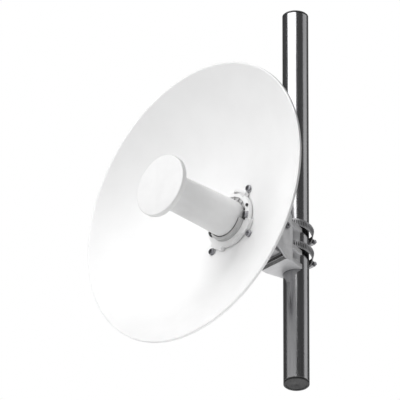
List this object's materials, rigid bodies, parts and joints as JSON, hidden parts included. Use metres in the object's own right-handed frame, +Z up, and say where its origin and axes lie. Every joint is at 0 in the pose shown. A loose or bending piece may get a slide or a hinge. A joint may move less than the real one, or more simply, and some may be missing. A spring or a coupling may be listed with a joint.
{
  "type": "wireless bridge dish antenna",
  "caption": "Dish antenna for a wireless bridge, on a mast: reflector, centre feed, rear radio, tilting bracket and two worm drive clamps.",
  "frame": {"origin": "centre of the mast's foot face", "axes": "+Z up along the mast, -Y the way the dish looks, +X across the dish"},
  "size_m": [0.484, 0.3508, 0.69],
  "materials": {
    "mast_steel": "satin dark galvanised pipe",
    "end_plastic": "matte",
    "dish_coat": "satin white powder coat",
    "hub_plastic": "satin",
    "feed_plastic": "satin",
    "radio_plastic": "satin",
    "latch_plastic": "satin",
    "cast_aluminium": "satin",
    "clamp_steel": "polished",
    "screw_steel": "satin"
  },
  "bodies": {
    "mast": {"mast_tube": "mast_steel", "mast_foot_plug": "end_plastic", "mast_top_cap": "end_plastic"},
    "swivel": {"mast_bracket": "cast_aluminium", "upper_clamp_band": "clamp_steel", "upper_clamp_housing": "clamp_steel", "upper_clamp_screw": "clamp_steel", "lower_clamp_band": "clamp_steel", "lower_clamp_housing": "clamp_steel", "lower_clamp_screw": "clamp_steel", "pivot_bolt": "screw_steel", "pivot_nut": "screw_steel", "tilt_lock_bolt": "screw_steel", "tilt_lock_nut": "screw_steel"},
    "dish": {"dish_reflector": "dish_coat", "tilt_bracket": "cast_aluminium", "hub_flange": "hub_plastic", "hub_ring": "hub_plastic", "hub_latch": "latch_plastic", "hub_latch_screw": "latch_plastic", "feed_tube": "feed_plastic", "feed_cap": "feed_plastic", "dish_screw_1": "screw_steel", "dish_screw_2": "screw_steel", "dish_screw_3": "screw_steel", "dish_screw_4": "screw_steel", "dish_washer_1": "screw_steel", "dish_washer_2": "screw_steel", "dish_washer_3": "screw_steel", "dish_washer_4": "screw_steel", "dish_nut_1": "screw_steel", "dish_nut_2": "screw_steel", "dish_nut_3": "screw_steel", "dish_nut_4": "screw_steel", "radio_housing": "radio_plastic", "radio_rear_cover": "radio_plastic", "cable_gland": "end_plastic", "earth_screw": "screw_steel"}
  },
  "joints": [
    {"name": "azimuth_swivel", "type": "hinge", "parent": "mast", "child": "swivel", "pos_m": [0, 0, 0.245], "axis": [0, 0, 1], "continuous": true},
    {"name": "elevation_tilt", "type": "hinge", "parent": "swivel", "child": "dish", "pos_m": [0, -0.051, 0.264], "axis": [-1, 0, 0], "range_deg": [-15, 15]}
  ]
}
